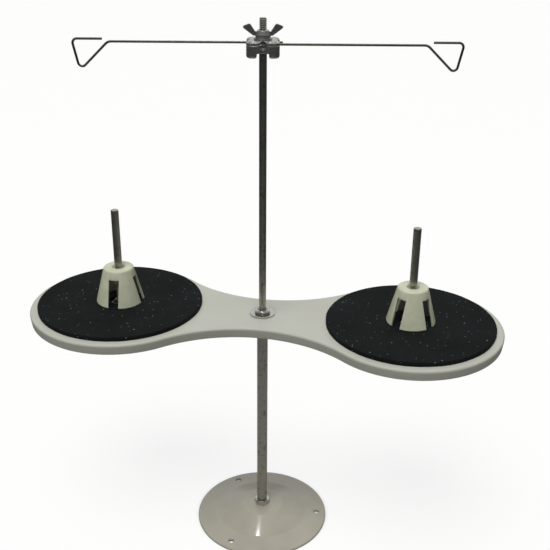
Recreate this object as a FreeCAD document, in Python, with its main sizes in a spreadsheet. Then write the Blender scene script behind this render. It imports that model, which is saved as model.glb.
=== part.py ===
# Two-spool thread stand for a sewing machine: a screw-down base, a rod, a dumbbell tray with two
# spool pins, and a clamp at the top that holds two wire thread guides.
# Millimetres, +Z up. The origin is on the rod's axis, on the surface that the base stands on.
# +X runs along the tray.
import FreeCAD, Part
import math
import os
import Sketcher

DIMENSIONS = {
    # pressed base
    "base_radius": 60.5, "base_sheet": 1.5, "base_height": 13.0, "hub_radius": 19.5,
    "crease_radius": 41.0, "crease_height": 4.6, "rim_height": 2.0, "base_hole_circle": 104.0,
    "base_hole_radius": 2.25, "base_sink_radius": 3.6, "hub_round": 5.0, "crease_round": 12.0,
    "rim_round": 1.2,
    # rods and the nuts at their ends
    "lower_rod_radius": 4.65, "upper_rod_radius": 3.0, "stand_thread_radius": 4.0,
    "joint_thread_radius": 2.5, "joint_thread_depth": 16.0, "stud_top": 460.4, "thread_gap": 0.05,
    "stand_nut_flats": 13.0, "foot_nut_height": 4.6, "under_nut_height": 5.0,
    "tray_nut_height": 3.2, "small_nut_flats": 10.0, "small_nut_height": 4.0,
    "foot_length": 10.0, "washer_edge": 0.15, "under_washer_radius": 9.0, "under_washer_height": 1.5,
    # tray
    "tray_top": 213.0, "tray_depth": 9.0, "tray_plate": 2.5, "tray_wall": 2.2, "tray_draft": 7.0,
    "tray_end_radius": 78.0, "tray_waist": 29.5, "tray_edge": 2.4, "spool_offset": 126.0,
    "boss_radius": 11.0, "boss_height": 1.5, "tray_washer_radius": 11.0,
    "tray_washer_height": 1.5, "seat_washer_height": 1.2, "swivel_gap": 0.05,
    # spool places
    "pad_radius": 71.4, "pad_height": 3.8, "pad_hole": 9.0, "pin_radius": 3.25, "pin_top": 300.0,
    "pin_thread_radius": 3.0, "pin_step": 249.0, "pin_foot": 203.2, "pin_chamfer": 0.4,
    "pin_washer_radius": 6.5, "pin_washer_height": 1.0,
    # cone holders, each in its own frame with its foot at the origin
    "cone_foot_radius": 20.8, "cone_top_radius": 12.6, "cone_height": 31.6, "cone_wall": 1.9,
    "cone_roof": 4.0, "cone_mouth": 5.6, "cone_bore": 3.36, "cone_round": 2.0,
    "sleeve_radius": 6.0, "sleeve_length": 12.0, "core_radius": 9.0, "core_foot": 20.0,
    "slot_width": 9.0, "slot_height": 24.2,
    "cone_gap": 0.05, "mouth_round": 0.9,
    # thread guides
    "wire_radius": 0.95, "wire_height": 441.5, "wire_side": 4.25, "wire_inner_end": 12.0,
    "shoulder_reach": 121.0, "loop_reach": 143.6, "loop_drop": 22.0, "corner_reach": 148.6,
    "bar_rise": 2.0, "bar_end": 125.4, "guide_slide": 3.1, "head_turn": 8.74,
    "shoulder_bend": 6.0, "loop_bend": 3.2, "corner_bend": 3.4,
    # clamp and its wing nut
    "clamp_width": 25.2, "clamp_corner": 5.0, "clamp_bottom": 432.0, "clamp_top": 444.6,
    "clamp_split": 0.3, "clamp_notch_radius": 5.0, "clamp_notch_centre": 15.0,
    "arch_width": 9.2, "arch_height": 3.6, "leg_round": 2.0, "rod_bore": 3.06,
    "groove_radius": 1.0, "cross_hole_radius": 3.0, "cross_hole_depth": 6.4, "cap_bevel": 1.3,
    "clamp_washer_radius": 7.15, "clamp_washer_height": 1.2, "lock_washer_radius": 5.8,
    "lock_washer_height": 1.0, "lock_washer_split": 1.2, "wing_hub_radius": 5.9, "wing_hub_top_radius": 4.4,
    "wing_hub_round": 0.9, "wing_hub_height": 4.8, "wing_thickness": 2.2, "nut_bore": 3.05,
}

RIGHT_CONE_TURN = -38.0
LEFT_CONE_TURN = -1.0
BASE_HOLE_TURN = 6.3
BASE_HOLE_COUNT = 3
MARGIN = 1.0
TOLERANCE = 1e-4

doc = FreeCAD.newDocument("thread_stand")
dim = doc.addObject("Spreadsheet::Sheet", "dim")
for row, (alias, number) in enumerate(DIMENSIONS.items(), start=1):
    dim.set(f"A{row}", alias)
    dim.set(f"B{row}", str(number))
    dim.setAlias(f"B{row}", alias)
doc.recompute()
dim_reader = doc.addObject("App::FeaturePython", "dim_reader")
sub_parts = []


# ---------------------------------------------------------------- helpers
def value(expression):
    return float(dim_reader.evalExpression(str(expression)))


def new_body(label):
    body = doc.addObject("PartDesign::Body", label)
    body.Label = label
    sub_parts.append(body)
    return body


def new_sketch(body, role, offset="0"):
    """A sketch on one of the body's own origin planes, moved along that plane's normal."""
    sketch = body.newObject("Sketcher::SketchObject", f"{body.Name}_sketch")
    plane = next(item for item in body.Origin.OriginFeatures if item.Role == role)
    sketch.AttachmentSupport = [(plane, "")]
    sketch.MapMode = "FlatFace"
    sketch.setExpression(".AttachmentOffset.Base.z", str(offset))
    return sketch


def pin_point(sketch, geometry, end, x, y):
    """Holds one point of a sketch at an expression's place."""
    for kind, expression in (("DistanceX", x), ("DistanceY", y)):
        constraint = Sketcher.Constraint(kind, geometry, end, value(expression))
        index = sketch.addConstraint(constraint)
        sketch.setExpression(f"Constraints[{index}]", str(expression))


def draw_polygon(sketch, points):
    corners = [FreeCAD.Vector(value(x), value(y), 0) for x, y in points]
    first = sketch.GeometryCount
    count = len(corners)
    for i in range(count):
        sketch.addGeometry(Part.LineSegment(corners[i], corners[(i + 1) % count]))
    for i in range(count):
        sketch.addConstraint(Sketcher.Constraint("Coincident", first + i, 2, first + (i + 1) % count, 1))
    for i, (x, y) in enumerate(points):
        pin_point(sketch, first + i, 1, x, y)


def draw_rectangle(sketch, x0, y0, x1, y1):
    draw_polygon(sketch, [(x0, y0), (x1, y0), (x1, y1), (x0, y1)])


def draw_circle(sketch, x, y, radius):
    centre = FreeCAD.Vector(value(x), value(y), 0)
    circle = Part.Circle(centre, FreeCAD.Vector(0, 0, 1), value(radius))
    geometry = sketch.addGeometry(circle)
    index = sketch.addConstraint(Sketcher.Constraint("Radius", geometry, value(radius)))
    sketch.setExpression(f"Constraints[{index}]", str(radius))
    pin_point(sketch, geometry, 3, x, y)


def revolve(body, points):
    """Turns a half profile, given as (radius, height) points, about the body's Z axis."""
    sketch = new_sketch(body, "XZ_Plane")
    draw_polygon(sketch, points)
    feature = body.newObject("PartDesign::Revolution", f"{body.Name}_turned")
    feature.Profile = sketch
    feature.ReferenceAxis = (sketch, ["V_Axis"])
    feature.Angle = 360
    doc.recompute()
    return feature


def pad(body, sketch, length, reverse=False, draft=None):
    feature = body.newObject("PartDesign::Pad", f"{body.Name}_pad")
    feature.Profile = sketch
    feature.setExpression("Length", str(length))
    feature.Reversed = reverse
    if draft:
        feature.setExpression("TaperAngle", draft)
    doc.recompute()
    return feature


def pocket(body, sketch, length, reverse=False):
    """Cuts a sketch into the body, and stops if nothing was cut."""
    before = body.Shape.Volume
    feature = body.newObject("PartDesign::Pocket", f"{body.Name}_pocket")
    feature.Profile = sketch
    feature.setExpression("Length", str(length))
    feature.Reversed = reverse
    doc.recompute()
    if body.Shape.Volume > before - TOLERANCE:
        raise RuntimeError(f"{feature.Name} cuts nothing")
    return feature


def repeat_round(body, sketch, features, count):
    """Repeats features about the normal of a sketch that lies on the body's XY plane."""
    pattern = body.newObject("PartDesign::PolarPattern", f"{body.Name}_pattern")
    pattern.Originals = features
    pattern.Axis = (sketch, ["N_Axis"])
    pattern.Angle = 360
    pattern.Occurrences = count
    body.Tip = pattern
    doc.recompute()
    return pattern


def edges_where(shape, test):
    return [f"Edge{i}" for i, edge in enumerate(shape.Edges, start=1) if test(edge)]


def flat_at(height):
    """A test for edges that lie wholly at one height."""
    def test(edge):
        box = edge.BoundBox
        return abs(box.ZMin - height) < TOLERANCE and abs(box.ZMax - height) < TOLERANCE
    return test


def dress(body, kind, size, names):
    """Adds a Fillet or a Chamfer to the body's tip along the named edges."""
    base = body.Tip
    feature = body.newObject(f"PartDesign::{kind}", f"{body.Name}_{kind.lower()}")
    feature.Base = (base, names)
    feature.setExpression("Radius" if kind == "Fillet" else "Size", str(size))
    doc.recompute()
    if "Invalid" in feature.State:
        raise RuntimeError(f"{feature.Name} failed on {names}")
    return feature


def place(body, x="0", y="0", z="0", turn=0.0):
    """Puts a body in the stand's frame: turned about Z, then moved in that turned frame."""
    rotation = FreeCAD.Rotation(FreeCAD.Vector(0, 0, 1), turn)
    moved = rotation.multVec(FreeCAD.Vector(value(x), value(y), value(z)))
    body.Placement = FreeCAD.Placement(moved, rotation)





# ---------------------------------------------------------------- plain fasteners
def make_washer(label, inner, outer, height, bottom, x="0"):
    body = new_body(label)
    revolve(body, [(inner, "0"), (outer, "0"), (outer, height), (inner, height)])
    rim = edges_where(body.Shape, lambda edge: edge.BoundBox.XMax > value(outer) - 0.01)
    dress(body, "Chamfer", "dim.washer_edge", rim)
    place(body, x=x, z=bottom)
    return body


def make_hex_nut(label, flats, bore, height, bottom, x="0", turn=0.0):
    """A hexagon nut with both faces chamfered: a turned blank with its outside milled to six flats."""
    body = new_body(label)
    corner = f"{flats} / 2 * {1 / math.cos(math.radians(30)):.6f}"
    bevel = f"({corner} - {flats} / 2) * {math.tan(math.radians(30)):.6f}"
    revolve(body, [
        (bore, "0"), (f"{flats} / 2", "0"), (corner, bevel),
        (corner, f"{height} - {bevel}"), (f"{flats} / 2", height), (bore, height),
    ])
    flats_sketch = new_sketch(body, "XY_Plane", height)
    directions = [math.radians(60 * k) for k in range(6)]
    draw_polygon(flats_sketch, [
        (f"{corner} * {math.cos(a):.6f}", f"{corner} * {math.sin(a):.6f}") for a in directions
    ])
    draw_circle(flats_sketch, "0", "0", f"{flats}")
    pocket(body, flats_sketch, height)
    place(body, x=x, z=bottom, turn=turn)
    if turn:
        body.Placement.Base = FreeCAD.Vector(value(x), 0, value(bottom))
    return body


# ---------------------------------------------------------------- base and rods
def make_base():
    body = new_body("base_plate")
    bore = "dim.stand_thread_radius + 0.2"
    revolve(body, [
        (bore, "dim.base_height"),
        ("dim.hub_radius", "dim.base_height"),
        ("dim.crease_radius", "dim.crease_height"),
        ("dim.base_radius", "dim.rim_height"),
        ("dim.base_radius", "0"),
        ("dim.base_radius - dim.base_sheet", "0"),
        ("dim.base_radius - dim.base_sheet", "dim.rim_height - 1.3"),
        ("dim.crease_radius - 0.3", "dim.crease_height - dim.base_sheet"),
        ("dim.hub_radius - 0.5", "dim.base_height - dim.base_sheet"),
        (bore, "dim.base_height - dim.base_sheet"),
    ])
    hub_edges = edges_where(body.Shape, flat_at(value("dim.base_height")))
    outer_hub = [name for name in hub_edges if body.Shape.getElement(name).BoundBox.XMax > 10]
    dress(body, "Fillet", "dim.hub_round", outer_hub)
    dress(body, "Fillet", "dim.crease_round", edges_where(body.Shape, flat_at(value("dim.crease_height"))))
    rim = edges_where(body.Shape, flat_at(value("dim.rim_height")))
    dress(body, "Fillet", "dim.rim_round", rim)

    hole_sketch = new_sketch(body, "XY_Plane")
    hole_places = []
    for k in range(BASE_HOLE_COUNT):
        turn = math.radians(BASE_HOLE_TURN + 360 / BASE_HOLE_COUNT * k)
        hole_places.append([
            f"dim.base_hole_circle / 2 * {share:.6f}" for share in (math.cos(turn), math.sin(turn))
        ])
        draw_circle(hole_sketch, *hole_places[-1], "dim.base_hole_radius")
    pocket(body, hole_sketch, "dim.base_height", reverse=True)
    for x, y in hole_places:
        sink = body.newObject("PartDesign::SubtractiveCone", "base_plate_sink")
        sink.setExpression("Radius1", "dim.base_hole_radius")
        sink.setExpression("Radius2", "dim.base_sink_radius + 1")
        sink.setExpression("Height", "dim.base_sink_radius + 1 - dim.base_hole_radius")
        sink.setExpression(".Placement.Base.x", x)
        sink.setExpression(".Placement.Base.y", y)
        sink.setExpression(".Placement.Base.z", "dim.rim_height + 0.4")
    doc.recompute()


def make_rods():
    """The lower rod is threaded at both ends. The upper rod screws into its top."""
    foot = "dim.base_height - dim.foot_length"
    shoulder = "dim.base_height + dim.foot_nut_height"
    seat = value("dim.tray_top - dim.tray_plate - dim.boss_height - dim.seat_washer_height - dim.swivel_gap")
    neck_top = value("dim.tray_top + dim.swivel_gap + dim.tray_washer_height + dim.tray_nut_height + 0.8")
    tapped = "dim.joint_thread_radius + dim.thread_gap"
    lower = new_body("lower_rod")
    revolve(lower, [
        ("0", foot), ("dim.stand_thread_radius - 0.7", foot),
        ("dim.stand_thread_radius", f"{foot} + 0.7"), ("dim.stand_thread_radius", shoulder),
        ("dim.lower_rod_radius", shoulder), ("dim.lower_rod_radius", seat),
        ("dim.stand_thread_radius", seat), ("dim.stand_thread_radius", neck_top),
        (tapped, neck_top), (tapped, f"{neck_top} - dim.joint_thread_depth"),
        ("0", f"{neck_top} - dim.joint_thread_depth"),
    ])
    upper = new_body("upper_rod")
    upper_foot = f"{neck_top} - dim.joint_thread_depth + 1"
    revolve(upper, [
        ("0", upper_foot), ("dim.joint_thread_radius", upper_foot),
        ("dim.joint_thread_radius", neck_top), ("dim.upper_rod_radius", neck_top),
        ("dim.upper_rod_radius", "dim.stud_top - 0.6"),
        ("dim.upper_rod_radius - 0.6", "dim.stud_top"), ("0", "dim.stud_top"),
    ])


# ---------------------------------------------------------------- tray
def draw_dumbbell(sketch, inset):
    """Two round ends joined by two hollow curves, every join tangent. inset moves it all inwards."""
    end_radius = f"(dim.tray_end_radius - {inset})"
    waist = f"(dim.tray_waist - {inset})"
    offset = "dim.spool_offset"
    sweep = f"({offset} * {offset} + {waist} * {waist} - {end_radius} * {end_radius})"
    sweep = f"{sweep} / (2 * ({end_radius} - {waist}))"
    end_r, sweep_r, end_x = value(end_radius), value(sweep), value(offset)
    centre_y = value(waist) + sweep_r
    join = math.atan2(centre_y, -end_x)
    normal = FreeCAD.Vector(0, 0, 1)

    def arc(x, y, radius, start, end):
        circle = Part.Circle(FreeCAD.Vector(x, y, 0), normal, radius)
        return sketch.addGeometry(Part.ArcOfCircle(circle, start, end))

    right = arc(end_x, 0, end_r, -join, join)
    upper = arc(0, centre_y, sweep_r, math.pi - join + math.pi, join + math.pi)
    left = arc(-end_x, 0, end_r, math.pi - join, math.pi + join)
    lower = arc(0, -centre_y, sweep_r, math.pi - join, join)
    for first, first_end, second, second_end in (
        (right, 2, upper, 2), (upper, 1, left, 1), (left, 2, lower, 2), (lower, 1, right, 1),
    ):
        sketch.addConstraint(Sketcher.Constraint("Tangent", first, first_end, second, second_end))
    for geometry, radius in ((right, end_radius), (left, end_radius), (upper, sweep), (lower, sweep)):
        index = sketch.addConstraint(Sketcher.Constraint("Radius", geometry, value(radius)))
        sketch.setExpression(f"Constraints[{index}]", radius)
    pin_point(sketch, right, 3, offset, "0")
    pin_point(sketch, left, 3, f"-{offset}", "0")


def make_tray():
    body = new_body("tray")
    outline = new_sketch(body, "XY_Plane", "dim.tray_top")
    draw_dumbbell(outline, "0")
    pad(body, outline, "dim.tray_depth", reverse=True, draft="-dim.tray_draft")
    dress(body, "Fillet", "dim.tray_edge", edges_where(body.Shape, flat_at(value("dim.tray_top"))))
    hollow = new_sketch(body, "XY_Plane", "dim.tray_top - dim.tray_depth")
    draw_dumbbell(hollow, "(dim.tray_wall + 1.1)")
    pocket(body, hollow, "dim.tray_depth - dim.tray_plate", reverse=True)

    bosses = new_sketch(body, "XY_Plane", "dim.tray_top - dim.tray_plate + 0.5")
    for x in ("-dim.spool_offset", "0", "dim.spool_offset"):
        draw_circle(bosses, x, "0", "dim.boss_radius")
    pad(body, bosses, "dim.boss_height + 0.5", reverse=True)
    holes = new_sketch(body, "XY_Plane", "dim.tray_top + 1")
    draw_circle(holes, "0", "0", "dim.stand_thread_radius + 0.08")
    for x in ("-dim.spool_offset", "dim.spool_offset"):
        draw_circle(holes, x, "0", "dim.pin_thread_radius + dim.thread_gap")
    pocket(body, holes, "dim.tray_depth")


def make_spool_place(side, x):
    """Pad, pin and the pin's nuts and washers at one end of the tray."""
    body = new_body(f"{side}_pad")
    ring = new_sketch(body, "XY_Plane")
    draw_circle(ring, "0", "0", "dim.pad_radius")
    draw_circle(ring, "0", "0", "dim.pad_hole")
    pad(body, ring, "dim.pad_height")
    place(body, x=x, z="dim.tray_top")

    pin = new_body(f"{side}_spool_pin")
    revolve(pin, [
        ("0", "dim.pin_foot"), ("dim.pin_thread_radius - 0.5", "dim.pin_foot"),
        ("dim.pin_thread_radius", "dim.pin_foot + 0.5"), ("dim.pin_thread_radius", "dim.pin_step"),
        ("dim.pin_radius", "dim.pin_step"), ("dim.pin_radius", "dim.pin_top - dim.pin_chamfer"),
        ("dim.pin_radius - dim.pin_chamfer", "dim.pin_top"), ("0", "dim.pin_top"),
    ])
    place(pin, x=x)

    bore = "dim.pin_thread_radius + dim.thread_gap"
    under = "dim.tray_top - dim.tray_plate - dim.boss_height"
    make_washer(f"{side}_pin_upper_washer", bore, "dim.pin_washer_radius", "dim.pin_washer_height",
                "dim.tray_top", x)
    make_hex_nut(f"{side}_pin_upper_nut", "dim.small_nut_flats", bore, "dim.small_nut_height",
                 "dim.tray_top + dim.pin_washer_height", x)
    make_washer(f"{side}_pin_lower_washer", bore, "dim.pin_washer_radius", "dim.pin_washer_height",
                f"{under} - dim.pin_washer_height", x)
    make_hex_nut(f"{side}_pin_lower_nut", "dim.small_nut_flats", bore, "dim.small_nut_height",
                 f"{under} - dim.pin_washer_height - dim.small_nut_height", x)


def make_cone(side, x, turn):
    """Hollow cone with four slots, and a stepped sleeve inside its roof that runs on the pin."""
    body = new_body(f"{side}_cone_holder")
    slope = "(dim.cone_foot_radius - dim.cone_top_radius) / dim.cone_height"
    roof_inside = "dim.cone_height - dim.cone_roof"
    inner_top = f"dim.cone_foot_radius - dim.cone_wall - {slope} * ({roof_inside})"
    revolve(body, [
        ("dim.cone_foot_radius - dim.cone_wall", "0"), ("dim.cone_foot_radius", "0"),
        ("dim.cone_top_radius", "dim.cone_height"),
        ("dim.cone_mouth", "dim.cone_height"),
        ("dim.cone_bore", "dim.cone_height - dim.cone_roof"),
        ("dim.cone_bore", f"{roof_inside} - dim.sleeve_length"),
        ("dim.sleeve_radius", f"{roof_inside} - dim.sleeve_length"),
        ("dim.sleeve_radius", "dim.core_foot"), ("dim.core_radius", "dim.core_foot"),
        ("dim.core_radius", roof_inside), (inner_top, roof_inside),
    ])
    shoulder = edges_where(body.Shape, lambda edge: flat_at(value("dim.cone_height"))(edge)
                           and edge.BoundBox.XMax > value("dim.cone_mouth") + MARGIN)
    dress(body, "Fillet", "dim.cone_round", shoulder)
    mouth = edges_where(body.Shape, lambda edge: flat_at(value("dim.cone_height"))(edge)
                        and edge.BoundBox.XMax < value("dim.cone_mouth") + MARGIN)
    dress(body, "Fillet", "dim.mouth_round", mouth)
    slot_sketch = new_sketch(body, "XY_Plane")
    draw_rectangle(slot_sketch, "dim.core_radius + 1", "-dim.slot_width / 2",
                   "dim.cone_foot_radius + 2", "dim.slot_width / 2")
    slot = pocket(body, slot_sketch, "dim.slot_height", reverse=True)
    repeat_round(body, slot_sketch, [slot], 4)
    place(body, z="dim.tray_top + dim.pad_height + dim.cone_gap", turn=turn)
    body.Placement.Base = FreeCAD.Vector(value(x), 0, body.Placement.Base.z)


# ---------------------------------------------------------------- thread guides
def draw_bent_run(sketch, points, bends):
    """Straight runs through the points, joined by tangent arcs of the radii in bends."""
    corners = [FreeCAD.Vector(value(x), value(y), 0) for x, y in points]
    marks = []
    for (x, y), corner in zip(points, corners):
        mark = sketch.addGeometry(Part.Point(corner), True)
        pin_point(sketch, mark, 1, x, y)
        marks.append(mark)
    normal = FreeCAD.Vector(0, 0, 1)
    starts, ends, arcs = [corners[0]], [], []
    for i, bend in enumerate(bends, start=1):
        before = (corners[i - 1] - corners[i]).normalize()
        after = (corners[i + 1] - corners[i]).normalize()
        half = before.getAngle(after) / 2
        reach = value(bend) / math.tan(half)
        ends.append(corners[i] + before * reach)
        starts.append(corners[i] + after * reach)
        middle = (before + after).normalize()
        centre = corners[i] + middle * (value(bend) / math.sin(half))
        left_turn = before.cross(after).z < 0
        first, last = (ends[-1], starts[-1]) if left_turn else (starts[-1], ends[-1])
        angles = [math.atan2(p.y - centre.y, p.x - centre.x) for p in (first, last)]
        arcs.append((Part.ArcOfCircle(Part.Circle(centre, normal, value(bend)), *angles), left_turn))
    ends.append(corners[-1])
    lines = [sketch.addGeometry(Part.LineSegment(a, b)) for a, b in zip(starts, ends)]
    sketch.addConstraint(Sketcher.Constraint("Coincident", lines[0], 1, marks[0], 1))
    sketch.addConstraint(Sketcher.Constraint("Coincident", lines[-1], 2, marks[-1], 1))
    for i, line in enumerate(lines):
        if i > 0:
            sketch.addConstraint(Sketcher.Constraint("PointOnObject", marks[i], 1, line))
        if i < len(lines) - 1:
            sketch.addConstraint(Sketcher.Constraint("PointOnObject", marks[i + 1], 1, line))
    for i, (shape, left_turn) in enumerate(arcs):
        arc = sketch.addGeometry(shape)
        near, far = (1, 2) if left_turn else (2, 1)
        sketch.addConstraint(Sketcher.Constraint("Tangent", lines[i], 2, arc, near))
        sketch.addConstraint(Sketcher.Constraint("Tangent", lines[i + 1], 1, arc, far))
        index = sketch.addConstraint(Sketcher.Constraint("Radius", arc, value(bends[i])))
        sketch.setExpression(f"Constraints[{index}]", bends[i])


def make_thread_guide(side, turn, slide):
    """One wire: a long straight arm, and an open three-cornered eye that hangs from its end."""
    body = new_body(f"{side}_thread_guide")
    path = new_sketch(body, "XZ_Plane")
    draw_bent_run(path, [
        ("-dim.wire_inner_end", "0"), ("dim.shoulder_reach", "0"), ("dim.loop_reach", "-dim.loop_drop"),
        ("dim.corner_reach", "dim.bar_rise"), ("dim.bar_end", "dim.bar_rise"),
    ], ["dim.shoulder_bend", "dim.loop_bend", "dim.corner_bend"])
    section = new_sketch(body, "YZ_Plane", "-dim.wire_inner_end")
    draw_circle(section, "0", "0", "dim.wire_radius")
    doc.recompute()
    pipe = body.newObject("PartDesign::AdditivePipe", f"{body.Name}_pipe")
    pipe.Profile = section
    pipe.Spine = (path, [f"Edge{i}" for i in range(1, len(path.Shape.Edges) + 1)])
    doc.recompute()
    place(body, x=slide, y="-dim.wire_side", z="dim.wire_height", turn=turn)


# ---------------------------------------------------------------- clamp
def start_clamp_half(label, bottom, top):
    """A square casting with a lobe at each corner and a hollow in the middle of each side."""
    body = new_body(label)
    half = "dim.clamp_width / 2"
    plan = new_sketch(body, "XY_Plane", bottom)
    draw_rectangle(plan, f"-{half}", f"-{half}", half, half)
    pad(body, plan, f"{top} - ({bottom})")
    upright = edges_where(body.Shape, lambda edge: edge.BoundBox.ZLength > 1)
    dress(body, "Fillet", "dim.clamp_corner", upright)
    notches = new_sketch(body, "XY_Plane", f"{top} + 1")
    for x, y in ((1, 0), (0, 1), (-1, 0), (0, -1)):
        draw_circle(notches, f"dim.clamp_notch_centre * {x}", f"dim.clamp_notch_centre * {y}",
                    "dim.clamp_notch_radius")
    pocket(body, notches, f"{top} - ({bottom}) + 2")
    return body


def bore_clamp_half(body, top):
    """The rod's bore, the two wire grooves and the cross holes in the front and back."""
    bore = new_sketch(body, "XY_Plane", f"{top} + 1")
    draw_circle(bore, "0", "0", "dim.rod_bore")
    pocket(body, bore, "dim.clamp_width")
    grooves = new_sketch(body, "YZ_Plane", "dim.clamp_width / 2 + 1")
    for sign in (1, -1):
        draw_circle(grooves, f"dim.wire_side * {sign}", "dim.wire_height", "dim.groove_radius")
    pocket(body, grooves, "dim.clamp_width + 2")
    for sign in (1, -1):
        hole = new_sketch(body, "XZ_Plane", f"dim.clamp_width / 2 * {sign}")
        draw_circle(hole, "0", "dim.wire_height", "dim.cross_hole_radius")
        pocket(body, hole, "dim.cross_hole_depth", reverse=sign < 0)


def make_clamp():
    split_low = "dim.wire_height - dim.clamp_split / 2"
    split_high = "dim.wire_height + dim.clamp_split / 2"
    lower = start_clamp_half("clamp_body", "dim.clamp_bottom", split_low)
    reach = "dim.clamp_width"
    for x, y in (("dim.arch_width / 2", reach), (reach, "dim.arch_width / 2")):
        arch = new_sketch(lower, "XY_Plane", "dim.clamp_bottom")
        draw_rectangle(arch, f"-{x}", f"-{y}", x, y)
        pocket(lower, arch, "dim.arch_height", reverse=True)
    dress(lower, "Fillet", "dim.leg_round", edges_where(lower.Shape, flat_at(value("dim.clamp_bottom"))))
    bore_clamp_half(lower, split_low)

    cap = start_clamp_half("clamp_cap", split_high, "dim.clamp_top")
    dress(cap, "Chamfer", "dim.cap_bevel", edges_where(cap.Shape, flat_at(value("dim.clamp_top"))))
    bore_clamp_half(cap, "dim.clamp_top")
    for half in (lower, cap):
        place(half, turn=value("dim.head_turn"))


def make_lock_washer(bottom):
    """A split ring."""
    body = new_body("clamp_lock_washer")
    revolve(body, [
        ("dim.nut_bore + 0.15", "0"), ("dim.lock_washer_radius", "0"),
        ("dim.lock_washer_radius", "dim.lock_washer_height"),
        ("dim.nut_bore + 0.15", "dim.lock_washer_height"),
    ])
    split = new_sketch(body, "XY_Plane", "dim.lock_washer_height + 1")
    draw_rectangle(split, "0", "-dim.lock_washer_split / 2", "dim.lock_washer_radius + 1",
                   "dim.lock_washer_split / 2")
    pocket(body, split, "dim.lock_washer_height + 2")
    place(body, z=bottom, turn=value("dim.head_turn") + 130)


def make_wing_nut(bottom):
    body = new_body("wing_nut")
    hub_radius, hub_top = "dim.wing_hub_radius", "dim.wing_hub_top_radius"
    revolve(body, [
        ("dim.nut_bore", "0"), (hub_radius, "0"), (hub_radius, "1.2"),
        (hub_top, "dim.wing_hub_height"), ("dim.nut_bore", "dim.wing_hub_height"),
    ])
    round_top = edges_where(body.Shape, lambda edge: flat_at(value("dim.wing_hub_height"))(edge)
                            and edge.BoundBox.XMax > value("dim.nut_bore") + 0.5)
    dress(body, "Fillet", "dim.wing_hub_round", round_top)
    wing = new_sketch(body, "XZ_Plane", "-dim.wing_thickness / 2")
    draw_polygon(wing, [
        ("3.8", "0.5"), ("7.4", "0.5"), ("14.6", "5.9"), ("15.2", "7.0"), ("14.6", "7.8"),
        ("10.6", "9.3"), ("9.5", "8.9"), ("6.1", "3.8"), ("3.8", "3.6"),
    ])
    blade = pad(body, wing, "dim.wing_thickness")
    axis = new_sketch(body, "XY_Plane")
    repeat_round(body, axis, [blade], 2)
    place(body, z=bottom, turn=value("dim.head_turn"))


# ---------------------------------------------------------------- assembly
make_base()
make_hex_nut("base_upper_nut", "dim.stand_nut_flats", "dim.stand_thread_radius + dim.thread_gap",
             "dim.foot_nut_height", "dim.base_height", turn=22.0)
make_washer("base_lower_washer", "dim.stand_thread_radius + 0.2", "dim.under_washer_radius",
            "dim.under_washer_height", "dim.base_height - dim.base_sheet - dim.under_washer_height")
make_hex_nut("base_lower_nut", "dim.stand_nut_flats", "dim.stand_thread_radius + dim.thread_gap",
             "dim.under_nut_height",
             "dim.base_height - dim.base_sheet - dim.under_washer_height - dim.under_nut_height")
make_rods()
make_washer("tray_seat_washer", "dim.stand_thread_radius + 0.1", "dim.boss_radius - 1",
            "dim.seat_washer_height",
            "dim.tray_top - dim.tray_plate - dim.boss_height - dim.seat_washer_height - dim.swivel_gap")
make_tray()
make_washer("tray_upper_washer", "dim.stand_thread_radius + 0.1", "dim.tray_washer_radius",
            "dim.tray_washer_height", "dim.tray_top + dim.swivel_gap")
make_hex_nut("tray_nut", "dim.stand_nut_flats", "dim.stand_thread_radius + dim.thread_gap",
             "dim.tray_nut_height", "dim.tray_top + dim.swivel_gap + dim.tray_washer_height", turn=12.0)
for spool_side, spool_x, cone_turn in (
    ("left", "-dim.spool_offset", LEFT_CONE_TURN), ("right", "dim.spool_offset", RIGHT_CONE_TURN),
):
    make_spool_place(spool_side, spool_x)
    make_cone(spool_side, spool_x, cone_turn)
head_turn = value("dim.head_turn")
make_thread_guide("left", head_turn + 180, "-dim.guide_slide")
make_thread_guide("right", head_turn, "dim.guide_slide")
make_clamp()
make_washer("clamp_washer", "dim.nut_bore + 0.15", "dim.clamp_washer_radius", "dim.clamp_washer_height",
            "dim.clamp_top")
make_lock_washer("dim.clamp_top + dim.clamp_washer_height")
make_wing_nut("dim.clamp_top + dim.clamp_washer_height + dim.lock_washer_height")

doc.recompute()
for item in doc.Objects:
    if "Invalid" in item.State or "Error" in item.State:
        raise RuntimeError(f"{item.Name} failed: {item.State}")
os.makedirs("parts", exist_ok=True)
for body in sub_parts:
    shape = body.Shape
    if shape.isNull() or not shape.isValid() or len(shape.Solids) != 1:
        raise RuntimeError(f"{body.Label} has no single valid solid")
    shape.exportStep(f"parts/{body.Label}.step")
    box = shape.optimalBoundingBox(False, False)
    print(f"{body.Label:26s} {shape.Volume:12.2f} mm3  x {box.XMin:8.2f} {box.XMax:8.2f}  "
          f"y {box.YMin:8.2f} {box.YMax:8.2f}  z {box.ZMin:7.2f} {box.ZMax:7.2f}")
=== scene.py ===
# Looks of a two-cone thread stand: an enamelled base, two steel rods, a moulded tray with foam pads,
# spool pins and ivory cone holders, and a cast clamp with a wing nut that holds two wire thread guides.
# Blender works in metres. The sizes below are in millimetres, in the part's own frame.
import math

import bmesh
import bpy
from mathutils import Matrix, Vector, noise


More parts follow.
